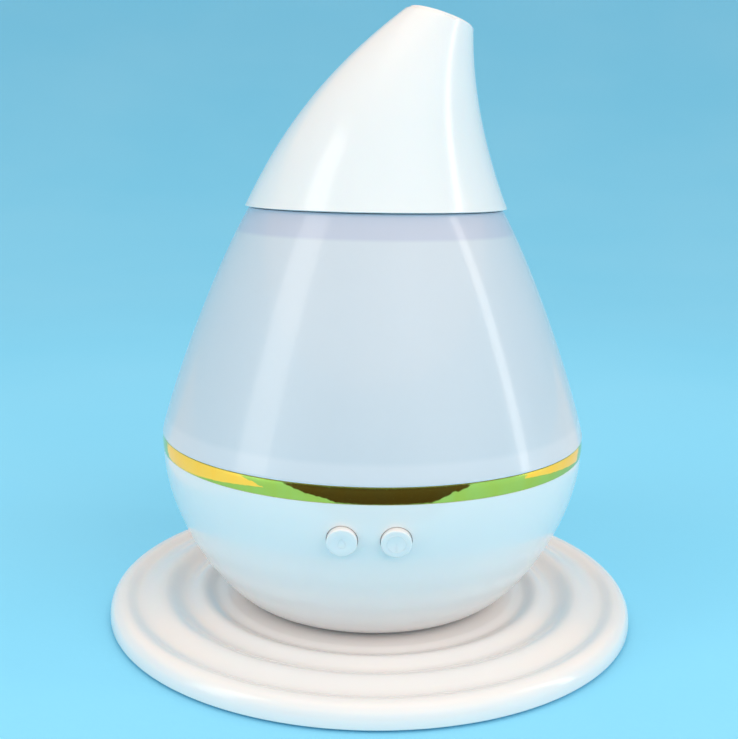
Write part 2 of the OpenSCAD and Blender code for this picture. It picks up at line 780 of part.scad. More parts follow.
module inlet_lead() {
    color(rubber) lead(plug_top(0), [0, 0, 9], [26, 0, 0], [2.4, inlet_back_y - 1.2, inlet_z], 0.8);
}
module disc_lead() {
    color(rubber) lead(plug_top(1), [0, 0, 5], [0, 0, -8], [3, -1, holder_z + holder_t + 0.35], 0.8);
}
module fan_lead() {
    color(rubber) lead(plug_top(2), [0, 0, 8], [-14, 0, 0], [-fan_side / 2, fan_y - 6, fan_z + 3], 0.8);
}
module led_lead() {
    color(rubber) lead(plug_top(3) + [1.2, 0, 0], [0, 0, 5], [0, 0, -5], [5, led_y, led_board_z], 0.8);
}
module key_lead() {
    color(rubber) lead(plug_top(3) - [1.2, 0, 0], [0, 0, 7], [0, 0, -12],
        [0, -key_board_y + key_board_t / 2, button_z - 5], 0.6);
}

// ---------- cover ----------

module cover() {
    throat_z = cover_top_z - neck_h;
    inner = inset(cover_outer, cover_wall);
    color(frosted) rotate_extrude() polygon(concat(
        cover_outer,
        [[neck_r, cover_top_z], [neck_r, throat_z]],
        reversed([for (p = inner) if (p[1] > cover_z + 0.5 && p[1] < throat_z - 2.5) p]),
        [[radius_at(inner, cover_z), cover_z]]
    ));
}

// ---------- nozzle ----------

collar_r = neck_r - 0.4;
seal_ring_r = neck_r - slack - seal_d / 2;
groove_r = seal_ring_r - seal_d / 2 - slack;
seal_z = cover_top_z - neck_h / 2;

module collar_seal() {
    color(rubber) translate([0, 0, seal_z]) rotate_extrude()
        translate([seal_ring_r, 0]) circle(r = seal_d / 2, $fn = 32);
}

ledge_r = cover_top_r + nozzle_proud - nozzle_wall - 0.1;
ledge_z = nozzle_z + 1.5;
module nozzle_collar() {
    groove = seal_d / 2 + 0.15;
    color(white) difference() {
        union() {
            tube(collar_r, collar_r - collar_wall, nozzle_z - collar_h, ledge_z);
            tube(ledge_r - 0.3, collar_r - collar_wall, nozzle_z, ledge_z);
        }
        tube(collar_r + over, groove_r, seal_z - groove, seal_z + groove);
    }
}

// The nozzle is a stack of rings. Each leans a little more than the one below, from level
// at the foot to the tilt of the outlet. A ring is [left point, right point, half depth],
// with the points in the XZ plane and measured from the nozzle's lower edge.
nozzle_r = cover_top_r + nozzle_proud;
tip = [nozzle_reach, nozzle_h];
tip_left = tip + tip_r * [-cos(tip_tilt), sin(tip_tilt)];
tip_right = tip + tip_r * [cos(tip_tilt), -sin(tip_tilt)];
back_angle = 36.4;   // slope of the back where it meets the outlet
nozzle_back = [[-nozzle_r, 0], [-nozzle_r + 0.103 * nozzle_h, 0.198 * nozzle_h],
    tip_left - 0.717 * nozzle_h * [cos(back_angle), sin(back_angle)], tip_left];
nozzle_front = [[nozzle_r, 0], [nozzle_r - 0.086 * nozzle_h, 0.201 * nozzle_h],
    tip_right - [0, 0.378 * nozzle_h], tip_right];
function nozzle_ring(t) =
    let (a = curve_point(nozzle_back, t), b = curve_point(nozzle_front, t))
    [a, b, norm(b - a) / 2 * (1 + 0.12 * t * t)];
// A ring drawn in by d all round, and lowered by drop along its own axis.
function shrunk(ring, d, drop = 0) =
    let (u = (ring[1] - ring[0]) / norm(ring[1] - ring[0]), n = [-u[1], u[0]])
    [ring[0] + d * u - drop * n, ring[1] - d * u - drop * n, ring[2] - d];
function level_ring(r, z) = [[-r, z], [r, z], r];
function ring_points(ring, count) =
    let (c = (ring[0] + ring[1]) / 2, u = (ring[1] - ring[0]) / 2)
    [for (k = [0:count - 1]) let (a = 360 * k / count)
        [c[0] + u[0] * cos(a), ring[2] * sin(a), nozzle_z + c[1] + u[1] * cos(a)]];

module nozzle_shell() {
    count = 60;
    outer_steps = 22;
    inner_steps = 16;
    top = nozzle_ring(1);
    rings = concat(
        [level_ring(nozzle_r - nozzle_wall, 0), level_ring(nozzle_r - 0.3, 0)],
        [for (i = [0:outer_steps - 1]) nozzle_ring(max(0.004, i / outer_steps))],
        [shrunk(top, 0.05, 0.9), shrunk(top, 0.3, 0.25), shrunk(top, 0.85, 0),
            shrunk(top, nozzle_wall - 0.3, 0.15), shrunk(top, nozzle_wall, 0.7)],
        [for (i = [inner_steps - 1:-1:1]) shrunk(nozzle_ring(0.05 + 0.93 * i / inner_steps), nozzle_wall)],
        [level_ring(ledge_r - 1.6, ledge_z - nozzle_z), level_ring(ledge_r, ledge_z - nozzle_z),
            level_ring(ledge_r, 0.4)]
    );
    total = len(rings);
    color(white) polyhedron(
        points = [for (ring = rings) each ring_points(ring, count)],
        faces = [for (i = [0:total - 1], k = [0:count - 1])
            let (j = (i + 1) % total, m = (k + 1) % count)
            each [[i * count + k, j * count + k, j * count + m],
                [i * count + k, j * count + m, i * count + m]]]
    );
}

// ---------- every node ----------

wave_plate();
rubber_feet();
case_screws();
base_shell();
intake_filter();
gold_ring();
rim_gasket();
basin();
chimney();
chimney_seal();
chimney_nut();
duct_hood();
air_duct();
fan_frame();
fan_stator();
fan_screws();
fan_rotor();
fan_shaft();
disc_seal();
vibrating_disc();
disc_ceramic();
disc_holder();
disc_screws();
main_board();
heat_sink();
board_parts();
board_plugs();
board_screws();
key_board();
key_screws();
mist_switch();
light_switch();
mist_plunger();
light_plunger();
mist_button();
light_button();
led_board();
led_lamps();
led_screws();
power_inlet();
inlet_contact();
inlet_nut();
inlet_lead();
disc_lead();
fan_lead();
led_lead();
key_lead();
cover();
collar_seal();
nozzle_collar();
nozzle_shell();
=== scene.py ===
# %% [markdown]
# # A drop-shaped cool mist humidifier
# The design, with its sizes, joints and hidden machinery, comes from the imported CAD
# model. This lesson adds what CAD leaves plain: smooth moulded surfaces, soft edges,
# and finishes that look like glossy plastic, frosted plastic and mirror plating.
# First the frame is loaded. Its box is kept.

import bpy
import json
import math
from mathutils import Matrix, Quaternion, Vector


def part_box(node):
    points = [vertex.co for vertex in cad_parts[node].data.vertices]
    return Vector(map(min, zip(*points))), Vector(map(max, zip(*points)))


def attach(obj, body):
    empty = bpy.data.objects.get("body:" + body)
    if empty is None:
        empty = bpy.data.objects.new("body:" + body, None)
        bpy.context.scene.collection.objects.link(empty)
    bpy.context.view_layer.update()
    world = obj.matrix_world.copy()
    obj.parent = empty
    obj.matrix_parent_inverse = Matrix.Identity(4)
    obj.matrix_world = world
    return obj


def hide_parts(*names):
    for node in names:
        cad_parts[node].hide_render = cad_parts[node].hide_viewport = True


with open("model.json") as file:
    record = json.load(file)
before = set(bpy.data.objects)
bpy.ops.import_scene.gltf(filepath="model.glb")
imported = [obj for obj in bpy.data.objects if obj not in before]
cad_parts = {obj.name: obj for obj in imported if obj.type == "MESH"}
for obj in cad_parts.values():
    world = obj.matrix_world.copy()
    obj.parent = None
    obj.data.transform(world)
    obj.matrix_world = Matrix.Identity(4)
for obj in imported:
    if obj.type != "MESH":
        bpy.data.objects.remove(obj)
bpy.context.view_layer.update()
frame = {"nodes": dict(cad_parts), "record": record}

# %% [markdown]
# ## Measures from the frame
# Lengths are metres in Blender, and small parts are easier to think of in millimetres,
# so `MM` turns one into the other. Every size that the CAD model already holds is read
# from a node's box instead of being typed again.

# %% Sizes
MM = 0.001


def span(node):
    """The low and high corner of a CAD node, in millimetres."""
    low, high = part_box(node)
    return low / MM, high / MM


plate_low, plate_high = span("wave_plate")
shell_low, shell_high = span("base_shell")
ring_low, ring_high = span("gold_ring")
cover_low, cover_high = span("cover")
nozzle_low, nozzle_high = span("nozzle_shell")
basin_high = span("basin")[1]
print("plate radius", round(plate_high.x, 2), "shell top", round(shell_high.z, 2))

# %% [markdown]
# ## The camera
# A camera is a position, a direction and a lens. This one stands a little above the
# object and looks slightly down at it, close enough for the round plate to open into
# an ellipse. The lens is a normal one of about 50 mm, so nothing looks stretched.

# %% Camera
camera_data = bpy.data.cameras.new("camera")
camera_data.lens = 50.4
camera_data.sensor_width = 36.0
camera_data.sensor_fit = "HORIZONTAL"
camera = bpy.data.objects.new("camera", camera_data)
orbit = Quaternion((0, 0, 1), math.radians(0.57))
camera.location = orbit @ Vector((-1.4, -327.4, 144.8)) * MM
look_down = math.radians(11.42)
roll = math.radians(-0.9)
camera.rotation_mode = "QUATERNION"
level = Vector((0, math.cos(look_down), -math.sin(look_down))).to_track_quat("-Z", "Y")
lens_axis = level @ Vector((0, 0, -1))
camera.rotation_quaternion = orbit @ Quaternion(lens_axis, roll) @ level
bpy.context.scene.collection.objects.link(camera)
bpy.context.scene.camera = camera
print("camera at", [round(v, 3) for v in camera.location])

# %% [markdown]
# ## Shader maths that reads like Python
# A procedural material is a graph of nodes. Wired by hand, even `1 - mask` takes four
# lines. `Wire` holds one output of a node and gives it the usual operators, in both
# orders, so that an expression adds the Math nodes by itself. Values that carry a
# direction use Vector Math, and colours are mixed with a Mix node.
# `Finish` is a material in the making: its `node` method adds any node, with the
# settings that change its sockets first, and then the values or wires that go in.

# %% Wire and Finish
class Wire:
    """The output of a shader node, with arithmetic."""

    def __init__(self, finish, socket):
        self.finish = finish
        self.socket = socket

    def combine(self, operation, first, second):
        vector = self.socket.type == "VECTOR"
        kind = "ShaderNodeVectorMath" if vector else "ShaderNodeMath"
        ends = [(v,) * 3 if vector and not isinstance(v, (Wire, tuple)) else v for v in (first, second)]
        return self.finish.node(kind, {"operation": operation}, {0: ends[0], 1: ends[1]})

    def __add__(self, other):
        return self.combine("ADD", self, other)

    def __radd__(self, other):
        return self.combine("ADD", other, self)

    def __sub__(self, other):
        return self.combine("SUBTRACT", self, other)

    def __rsub__(self, other):
        return self.combine("SUBTRACT", other, self)

    def __mul__(self, other):
        return self.combine("MULTIPLY", self, other)

    def __rmul__(self, other):
        return self.combine("MULTIPLY", other, self)

    def __truediv__(self, other):
        return self.combine("DIVIDE", self, other)

    def __pow__(self, other):
        return self.combine("POWER", self, other)


class Finish:
    """A material built from nodes round one Principled shader."""

    def __init__(self, name, **constants):
        self.material = bpy.data.materials.new(name)
        self.material.use_nodes = True
        self.tree = self.material.node_tree
        self.shader = self.tree.nodes["Principled BSDF"]
        for socket, value in constants.items():
            self.shader.inputs[socket.replace("_", " ")].default_value = value

    def node(self, kind, settings=None, inputs=None, output=0):
        made = self.tree.nodes.new(kind)
        for key, value in (settings or {}).items():
            if key == "stops":
                ramp = made.color_ramp.elements
                for i, (place, colour) in enumerate(value):
                    stop = ramp[i] if i < 2 else ramp.new(place)
                    stop.position = place
                    stop.color = colour
            else:
                setattr(made, key, value)
        for key, value in (inputs or {}).items():
            if isinstance(value, Wire):
                self.tree.links.new(value.socket, made.inputs[key])
            else:
                made.inputs[key].default_value = value
        return Wire(self, made.outputs[output])

    def feed(self, **wires):
        for socket, wire in wires.items():
            self.tree.links.new(wire.socket, self.shader.inputs[socket.replace("_", " ")])

    def place(self):
        """The place on the object, in metres."""
        return self.node("ShaderNodeTexCoord", output="Object")

    def noise(self, size, detail=2.0, rough=0.5, stretch=(1, 1, 1)):
        """Cloudy values round 0.5, with blobs about `size` metres across."""
        return self.node("ShaderNodeTexNoise", {}, {
            "Vector": self.place() * tuple(stretch), "Scale": 1 / size,
            "Detail": detail, "Roughness": rough})

    def ramp(self, value, low, high):
        """0 below `low`, 1 above `high` and a straight line between."""
        return self.node("ShaderNodeMapRange", {},
                         {"Value": value, "From Min": low, "From Max": high})

    def tint(self, factor, first, second):
        """A colour between two colours."""
        return self.node("ShaderNodeMix", {"data_type": "RGBA"},
                         {0: factor, 6: first, 7: second}, output=2)

    def bump(self, height, strength, depth):
        """A Normal from a height, `depth` metres deep where the height goes from 0 to 1."""
        return self.node("ShaderNodeBump", {},
                         {"Height": height, "Strength": strength, "Distance": depth})


print("shader tools ready")

# %% [markdown]
# ## Floor and light
# A pale floor that curves up all round the object is what a product photographer calls a
# sweep: it leaves no horizon line, from whichever side the object is seen. Most of the
# light comes evenly from the sky colour of the world. Glossy plastic shows its
# surroundings, so the lamps are large soft panels: a wide one on the left and a narrow
# one on the right draw the long highlights that tell the eye how smooth the cover is.
# The lamps that only lift the shadows are kept out of the reflections.

# %% Floor sweep
def mesh_object(name, points, faces, smooth=True):
    """A mesh object from points and faces."""
    mesh = bpy.data.meshes.new(name)
    mesh.from_pydata([tuple(p) for p in points], [], faces)
    mesh.validate()
    mesh.update()
    for face in mesh.polygons:
        face.use_smooth = smooth
    made = bpy.data.objects.new(name, mesh)
    bpy.context.scene.collection.objects.link(made)
    return made


floor_flat, floor_bend = 0.7, 2.2


def sweep_floor(slope=math.radians(50), height=1.7, turns=96, steps=16):
    """A round dish, in metres: a flat floor, a wide bend and a sloping wall up to the height."""
    line = [(floor_flat + floor_bend * math.sin(slope * k / steps),
             floor_bend - floor_bend * math.cos(slope * k / steps)) for k in range(steps + 1)]
    line.append((line[-1][0] + (height - line[-1][1]) / math.tan(slope), height))
    points = [(0, 0, 0)]
    angles = [2 * math.pi * k / turns for k in range(turns)]
    for radius, z in line:
        points += [(radius * math.cos(a), radius * math.sin(a), z) for a in angles]
    faces = [(0, 1 + k, 1 + (k + 1) % turns) for k in range(turns)]
    for i in range(len(line) - 1):
        row = 1 + i * turns
        faces += [(row + k, row + turns + k, row + turns + (k + 1) % turns, row + (k + 1) % turns)
                  for k in range(turns)]
    return mesh_object("floor", points, faces)


floor = sweep_floor()
paper = Finish("floor_paper", Roughness=0.8, Specular_IOR_Level=0.15)
cloud = paper.ramp(paper.noise(0.3), 0.3, 0.7)
paper.feed(Base_Color=paper.tint(cloud, (0.24, 0.70, 0.98, 1), (0.27, 0.72, 0.99, 1)),
           Normal=paper.bump(paper.noise(0.002, 3.0), 0.3, 0.0002))
floor.data.materials.append(paper.material)
print("floor points:", len(floor.data.vertices))

# %% [markdown]
# ## Cards
# A mirror has no look of its own: it shows the room. A black card in front gives the
# plated ring something dark to show, and white cards at the sides give it its yellow
# lights. Without them polished metal looks like pale paint. The cards are seen only in
# reflections, which is a trick that a real studio would envy.

# %% Cards for the reflections
card_lift = 0.002


def card(name, near, far, dark, light, rows=12):
    """A sheet lying on the floor between two lines of (x, y) points, seen only in reflections."""
    points, faces = [], []
    for i in range(rows + 1):
        for a, b in zip(near, far):
            x, y = (a[k] + i / rows * (b[k] - a[k]) for k in (0, 1))
            out = max(0.0, math.hypot(x, y) - floor_flat)
            points.append((x, y, floor_bend - math.sqrt(floor_bend ** 2 - out ** 2) + card_lift))
    wide = len(near)
    for i in range(rows):
        faces += [(i * wide + k, i * wide + k + 1, (i + 1) * wide + k + 1, (i + 1) * wide + k)
                  for k in range(wide - 1)]
    made = mesh_object(name, points, faces)
    sheet = Finish(name, Roughness=0.9)
    sheet.feed(Base_Color=sheet.tint(sheet.noise(0.01), (*dark, 1), (*light, 1)))
    made.data.materials.append(sheet.material)
    made.visible_camera = made.visible_diffuse = False
    made.visible_shadow = made.visible_transmission = False


BLACK = ((0.02, 0.02, 0.018), (0.05, 0.045, 0.035))
PALE = ((0.80, 0.80, 0.80), (0.84, 0.84, 0.84))
card("black_card", [(-0.030, -0.135), (0.014, -0.131), (0.058, -0.128)],
     [(-1.0, -1.05), (0.1, -1.4), (1.2, -1.0)], *BLACK)
card("white_card_left", [(-0.18, -0.16), (-0.155, 0.0), (-0.15, 0.11)],
     [(-1.3, -0.5), (-1.4, 0.3), (-1.2, 1.05)], *PALE)
card("white_card_right", [(0.32, -0.06), (0.21, 0.05), (0.15, 0.12)],
     [(1.4, -0.1), (1.3, 0.5), (0.9, 1.05)], *PALE)
print("cards ready")

# %% Lights
LAMP = (1.0, 0.90, 0.82)


def panel(name, place, width, height, power, mirrored=True, target=(0, 0, 0.09)):
    """A soft rectangular light that faces the target. It may be left out of reflections."""
    light = bpy.data.lights.new(name, "AREA")
    light.shape = "RECTANGLE"
    light.size, light.size_y = width, height
    light.energy = power
    light.color = LAMP
    made = bpy.data.objects.new(name, light)
    made.location = place
    made.rotation_mode = "QUATERNION"
    made.rotation_quaternion = (Vector(target) - Vector(place)).to_track_quat("-Z", "Y")
    made.visible_glossy = mirrored
    bpy.context.scene.collection.objects.link(made)


panel("tall_left", (-0.85, -0.45, 0.55), 0.35, 1.0, 2.1)
panel("fill_left", (-0.90, -0.85, 0.60), 0.8, 0.8, 2.4, mirrored=False)
panel("strip_right", (0.80, -0.10, 0.40), 0.10, 0.8, 0.9)
panel("key_right", (0.85, -0.80, 0.75), 1.0, 1.0, 5.8, mirrored=False)
panel("front", (0.15, -1.20, 0.95), 0.9, 0.6, 2.4, mirrored=False)
panel("fill_back", (-0.2, 1.0, 1.25), 0.9, 0.6, 1.4, mirrored=False)
panel("top", (0.0, 0.1, 1.3), 1.0, 1.0, 1.6)
world = bpy.data.worlds.new("studio")
world.use_nodes = True
sky = world.node_tree.nodes["Background"].inputs
sky["Color"].default_value = (1.0, 0.89, 0.80, 1)
sky["Strength"].default_value = 0.77
bpy.context.scene.world = world
bpy.context.scene.view_settings.view_transform = "Standard"

# %% [markdown]
# ## Turned shapes
# Most of this object is round, so most of it is a lathe: a closed outline of radius and
# height that is spun round an axis. Real mouldings have no sharp corners, so an outline
# is drawn with a fillet radius at each corner, and the fillets are worked out as arcs.
# A curved stretch is a cubic curve through four control points, as in the CAD design.

# %% Outlines and lathes
def cubic(p, count):
    """Points of a cubic curve with the control points p."""
    line = []
    for i in range(count + 1):
        t = i / count
        weights = ((1 - t) ** 3, 3 * t * (1 - t) ** 2, 3 * t * t * (1 - t), t ** 3)
        line.append(sum((w * Vector(q) for w, q in zip(weights, p)), Vector((0, 0))))
    return line


def inset(line, depth):
    """The same line moved to the left of its direction."""
    moved = []
    for i, p in enumerate(line):
        along = (line[min(i + 1, len(line) - 1)] - line[max(i - 1, 0)]).normalized()
        moved.append(p + depth * Vector((-along.y, along.x)))
    return moved


def rounded(corners, steps=5):
    """A closed outline. A corner is (radius, height, fillet), or a bare point of a curve."""
    outline = []
    count = len(corners)
    for i, corner in enumerate(corners):
        here = Vector(corner[:2])
        fillet = corner[2] if len(corner) > 2 else 0
        if not fillet:
            outline.append(here)
            continue
        before = Vector(corners[i - 1][:2]) - here
        after = Vector(corners[(i + 1) % count][:2]) - here
        half = before.angle(after) / 2
        reach = min(fillet / math.tan(half), 0.48 * before.length, 0.48 * after.length)
        start, end = here + reach * before.normalized(), here + reach * after.normalized()
        for k in range(steps + 1):
            t = k / steps
            outline.append((1 - t) ** 2 * start + 2 * t * (1 - t) * here + t * t * end)
    return outline


def lathe(name, outline, turns=192, centre=(0, 0), closed=True):
    """Spins an outline in millimetres round the vertical line through centre."""
    points, faces, rows = [], [], []
    for radius, height in outline:
        if radius < 1e-6:
            rows.append([len(points)] * turns)
            points.append(Vector((centre[0], centre[1], height)) * MM)
            continue
        rows.append(list(range(len(points), len(points) + turns)))
        for k in range(turns):
            a = 2 * math.pi * k / turns
            points.append(Vector((centre[0] + radius * math.cos(a),
                                  centre[1] + radius * math.sin(a), height)) * MM)
    for i in range(len(rows) if closed else len(rows) - 1):
        low, high = rows[i], rows[(i + 1) % len(rows)]
        for k in range(turns):
            m = (k + 1) % turns
            ring = list(dict.fromkeys([low[k], low[m], high[m], high[k]]))
            if len(ring) > 2:
                faces.append(ring)
    made = mesh_object(name, points, faces)
    crease(made)
    return made


def crease(made, angle=40):
    """Smooth shading, except across edges sharper than the angle."""
    made.data.shade_smooth()
    made.data.set_sharp_from_angle(angle=math.radians(angle))


print("lathe tools ready")

# %% [markdown]
# ## Glossy white plastic
# The nozzle, bowl, plate and buttons are one injection-moulded white plastic. Up close
# such a surface is not perfectly even: the steel of the mould leaves a faint orange-peel
# ripple, the polish varies in soft patches, and fine dust and wiping leave hairline
# scratches. Each is a noise of its own size. The patches go to roughness, the ripple and
# scratches to a very shallow bump, and the colour shifts a trace with the same patches.

# %% White gloss finish
def white_gloss():
    """Glossy white plastic."""
    f = Finish("white_gloss", Specular_IOR_Level=0.55, Subsurface_Weight=0.06, Subsurface_Scale=0.004,
               Coat_Weight=0.35, Coat_Roughness=0.09, IOR=1.5)
    patches = f.ramp(f.noise(0.035, 3.0), 0.35, 0.7)
    peel = f.noise(0.0022, 2.0)
    hair = f.noise(0.0006, 3.0, 0.7, (1, 1, 0.08))
    wiped = f.ramp(hair, 0.62, 0.80) * patches
    f.feed(Base_Color=f.tint(patches, (0.87, 0.822, 0.805, 1), (0.89, 0.837, 0.815, 1)),
           Roughness=0.16 + 0.08 * patches + 0.10 * wiped,
           Normal=f.bump(peel + 0.15 * hair, 0.35, 0.00006))
    return f.material


WHITE = white_gloss()
print("made", WHITE.name)

# %% [markdown]
# ## Frosted plastic
# The cover is a translucent plastic, milky in the wall but glossy on the outside. Two
# layers give that: a rough, partly transmitting body that blurs what stands behind it,
# and a smooth clear coat that keeps the highlights sharp. The wall gets a little cloudier
# in patches, and faint vertical flow marks run up from the rim, where the plastic
# entered the mould. Near the wall inside stand the collar of the nozzle, at the top, and
# the rim of the water basin, at the bottom. How they show through the wall is painted
# into the colour as two soft bands: painted shade, darker, near the top, and painted
# light, paler, low down above the ring.

# %% Frosted finish
def frosted(name, milk, tone, painted_bands=()):
    """A milky plastic. The list of bands gives (from z, to z, tone) for painted shade and painted light
    where parts behind the wall would show.
    """
    f = Finish(name, Transmission_Weight=milk, IOR=1.46, Coat_Weight=0.7, Coat_Roughness=0.10)
    clouds = f.ramp(f.noise(0.03, 3.0), 0.3, 0.7)
    flow = f.noise(0.004, 2.0, 0.5, (1, 1, 0.06))
    grain = f.noise(0.0005, 2.0)
    warm = (tone[0] * 0.985, tone[1] * 0.985, tone[2] * 0.99, 1)
    colour = f.tint(clouds * 0.6 + 0.4 * flow, warm, tone)
    height = f.node("ShaderNodeSeparateXYZ", {}, {0: f.place()}, output="Z")
    # Bands of painted shade and painted light: the colour goes to a darker or paler tone at the heights
    # where the collar and the basin rim stand behind the wall.
    for start, end, painted_tone in painted_bands:
        colour = f.tint(f.ramp(height, start * MM, end * MM), colour, painted_tone)
    f.feed(Base_Color=colour,
           Roughness=0.30 + 0.06 * clouds,
           Normal=f.bump(grain + 0.4 * flow, 0.2, 0.00005))
    return f.material


# A darker band of painted shade at the top of the cover, where the collar stands behind it, and a paler
# band of painted light just above the ring, where the basin rim stands.
FROSTED = frosted("frosted", 0.32, (0.88, 0.895, 0.94, 1),
                  [(cover_high.z - 7.6, cover_high.z - 6.6, (0.76, 0.76, 0.87, 1)),
                   (ring_high.z + 6.5, ring_high.z + 5.0, (0.95, 0.94, 0.98, 1))])
MILKY = frosted("clear_bowl", 0.25, (0.86, 0.80, 0.81, 1))
print("made", FROSTED.name, MILKY.name)

# %% [markdown]
# ## Mirror gold
# The ring is plated plastic: a mirror with a warm colour. Metals have no clear base
# under them, so `Metallic` is 1 and the base colour is the reflection's colour. Plating
# over plastic follows the moulding, so the mirror is slightly wavy, and it dulls a
# little in fine specks and along its edges, where fingers touch it.

# %% Gold finish
def mirror_gold():
    """Polished gold."""
    f = Finish("gold", Metallic=1.0)
    waves = f.noise(0.006, 2.0, 0.5, (1, 1, 0.5))
    specks = f.ramp(f.noise(0.0008, 3.0), 0.60, 0.75)
    band = f.node("ShaderNodeSeparateXYZ", {}, {0: f.place()}, output="Z")
    low = f.ramp(band, (ring_low.z + 0.8) * MM, ring_low.z * MM)
    high = f.ramp(band, (ring_high.z - 0.8) * MM, ring_high.z * MM)
    edge = low + high
    f.feed(Base_Color=f.tint(f.ramp(waves, 0.3, 0.7), (1.0, 0.72, 0.10, 1), (0.96, 0.76, 0.14, 1)),
           Roughness=0.05 + 0.10 * specks + 0.10 * edge,
           Normal=f.bump(waves, 0.5, 0.00025))
    return f.material


GOLD = mirror_gold()
print("made", GOLD.name)

# %% [markdown]
# ## Plain finishes for the parts inside
# Rubber, metals, circuit boards and matt plastics need the same three things: a colour
# with a little variation, a roughness that changes over the surface, and a fine relief.
# One function makes them all, with the size and depth of the grain as its arguments.

# %% General finish
def general(name, colour, metal=0.0, rough=0.5, vary=0.08, grain=0.0005, depth=0.00003,
            stretch=(1, 1, 1), **constants):
    """A plain finish from a colour and a roughness."""
    f = Finish(name, Metallic=metal, **constants)
    patches = f.ramp(f.noise(0.012, 3.0), 0.3, 0.7)
    fine = f.noise(grain, 3.0, 0.6, stretch)
    darker = (*[c * (1 - vary) for c in colour[:3]], 1)
    f.feed(Base_Color=f.tint(patches, darker, (*colour[:3], 1)),
           Roughness=rough * 0.85 + rough * 0.3 * fine + 0.06 * patches,
           Normal=f.bump(fine, 0.5, depth))
    return f.material


FINISHES = {
    "white_gloss": WHITE,
    "frosted": FROSTED,
    "clear_bowl": MILKY,
    "gold": GOLD,
    "white_matt": general("white_matt", (0.82, 0.82, 0.81), rough=0.42),
    "black_plastic": general("black_plastic", (0.022, 0.022, 0.024), rough=0.45),
    "rubber_grey": general("rubber_grey", (0.10, 0.10, 0.11), rough=0.75, grain=0.0003),
    "rubber_black": general("rubber_black", (0.02, 0.02, 0.022), rough=0.55),
    "silicone": general("silicone", (0.70, 0.73, 0.76), rough=0.38, Subsurface_Weight=0.2,
                        Subsurface_Scale=0.002),
    "steel": general("steel", (0.60, 0.61, 0.63), metal=1.0, rough=0.28, stretch=(1, 1, 0.1)),
    "aluminium": general("aluminium", (0.72, 0.73, 0.75), metal=1.0, rough=0.35, stretch=(0.1, 1, 1)),
    "brass": general("brass", (0.72, 0.53, 0.22), metal=1.0, rough=0.25),
    "copper": general("copper", (0.65, 0.30, 0.14), metal=1.0, rough=0.30, stretch=(1, 1, 0.2)),
    "nickel": general("nickel", (0.70, 0.69, 0.66), metal=1.0, rough=0.16),
    "ceramic": general("ceramic", (0.80, 0.78, 0.70), rough=0.5),
    "board": general("board", (0.02, 0.13, 0.05), rough=0.30, vary=0.25),
    "lamp_lens": general("lamp_lens", (0.85, 0.90, 0.95), rough=0.12, Transmission_Weight=0.6),
    "filter_foam": general("filter_foam", (0.03, 0.03, 0.034), rough=0.9, grain=0.001, depth=0.0006),
}
for part in frame["record"]["subparts"]:
    node = frame["nodes"][part["node"]]
    node.data.materials.clear()
    node.data.materials.append(FINISHES[part["material_slot"]])
print("finishes:", len(FINISHES))


def adopt(piece, body, slot, *nodes):
    """Gives a new piece its finish and body, in place of the CAD nodes that it stands for."""
    piece.data.materials.clear()
    piece.data.materials.append(FINISHES[slot])
    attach(piece, body)
    if nodes:
        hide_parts(*nodes)
    print(piece.name, "points:", len(piece.data.vertices))

# %% [markdown]
# ## Solids to add and to cut away
# Some details are easiest as a union or a difference of solids: bosses for screws, the
# holes for the keys, the slots for the air. Blender's Boolean modifier does both. All
# the small solids for one job are put in one mesh first, because one Boolean with forty
# pegs is quicker and safer than forty Booleans.

# %% Groups of pegs
def mesh_of(piece):
    """The points in millimetres and the faces of a piece, which is then removed."""
    points = [v.co / MM for v in piece.data.vertices]
    faces = [tuple(p.vertices) for p in piece.data.polygons]
    bpy.data.objects.remove(piece)
    return points, faces


def join(name, parts):
    """One mesh from several (points, faces) in millimetres."""
    points, faces = [], []
    for some_points, some_faces in parts:
        start = len(points)
        points += [Vector(p) * MM for p in some_points]
        faces += [tuple(start + i for i in face) for face in some_faces]
    made = mesh_object(name, points, faces)
    crease(made)
    return made


def pegs(outline, places, turns=64):
    """The same turned solid at several places, as a list of (points, faces)."""
    return [mesh_of(lathe("peg", outline, turns, place, closed=False)) for place in places]


def rod(radius, low, high, edge=0.0):
    """The outline of a cylinder from low to high."""
    return rounded([(0, low), (radius, low, edge), (radius, high, edge), (0, high)], 3)


def slab(x0, x1, y0, y1, z0, z1):
    """A box between two corners, as points and faces."""
    points = [(x, y, z) for z in (z0, z1) for x, y in ((x0, y0), (x1, y0), (x1, y1), (x0, y1))]
    faces = [(3, 2, 1, 0), (4, 5, 6, 7), (0, 1, 5, 4), (1, 2, 6, 5), (2, 3, 7, 6), (3, 0, 4, 7)]
    return points, faces


def along_y(parts, x, y, z, side=-1):
    """Turns solids made along +Z so that they point to -Y (side -1) or +Y (side 1)."""
    return [([Vector((x - side * p[0], y + side * p[2], z + p[1])) for p in points], faces)
            for points, faces in parts]


# %% Booleans
def boolean(piece, parts, operation):
    """Adds solids (UNION), cuts them away (DIFFERENCE) or keeps what both hold (INTERSECT)."""
    tool = join("tool", parts)
    modifier = piece.modifiers.new("tool", "BOOLEAN")
    modifier.object = tool
    modifier.operation = operation
    modifier.solver = "EXACT"
    graph = bpy.context.evaluated_depsgraph_get()
    solid = bpy.data.meshes.new_from_object(piece.evaluated_get(graph))
    piece.modifiers.clear()
    piece.data = solid
    bpy.data.objects.remove(tool)
    crease(piece)


def ring_of(radius, angles):
    """Places at a distance from the middle, at angles in degrees."""
    return [(radius * math.cos(math.radians(a)), radius * math.sin(math.radians(a)))
            for a in angles]


print("boolean tools ready")

